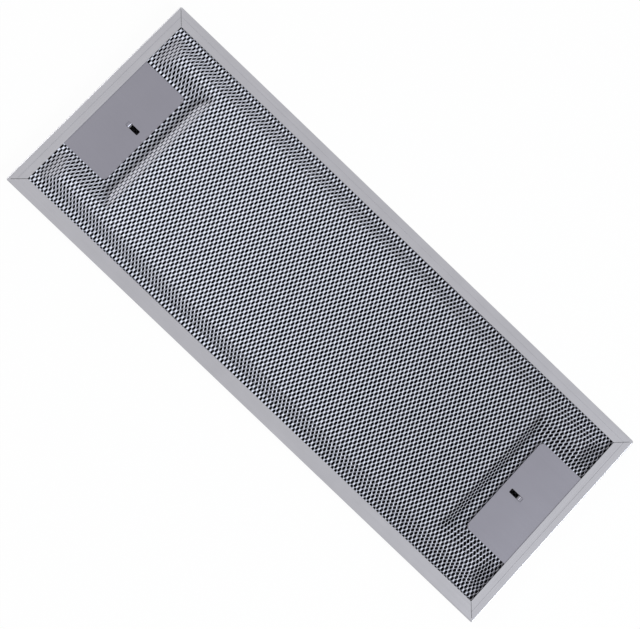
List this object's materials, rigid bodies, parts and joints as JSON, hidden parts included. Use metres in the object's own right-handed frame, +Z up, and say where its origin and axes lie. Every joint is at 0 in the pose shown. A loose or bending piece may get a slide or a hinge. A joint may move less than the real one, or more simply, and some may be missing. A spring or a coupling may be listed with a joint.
{
  "type": "cooker hood grease filter",
  "caption": "Flat oblong metal grease filter for a cooker hood: a channel frame holding expanded mesh with a raised field, and a slotted catch plate at each short end.",
  "frame": {"origin": "under the middle of the filter, on the surface that its rear rim lies on", "axes": "+X along the length, +Y across the width, +Z up out of the front face, which has the raised mesh and the end plates"},
  "size_m": [0.466, 0.18, 0.0159],
  "materials": {
    "frame": "satin rolled strip",
    "mesh": "bright expanded sheet",
    "crimped_mesh": "dark dull expanded foil",
    "end_plate": "smooth satin sheet"
  },
  "bodies": {
    "root": {"frame": "frame", "front_mesh": "mesh", "rear_mesh": "mesh", "lower_crimped_mesh": "crimped_mesh", "middle_crimped_mesh": "crimped_mesh", "upper_crimped_mesh": "crimped_mesh", "left_end_plate": "end_plate", "right_end_plate": "end_plate"}
  },
  "joints": []
}
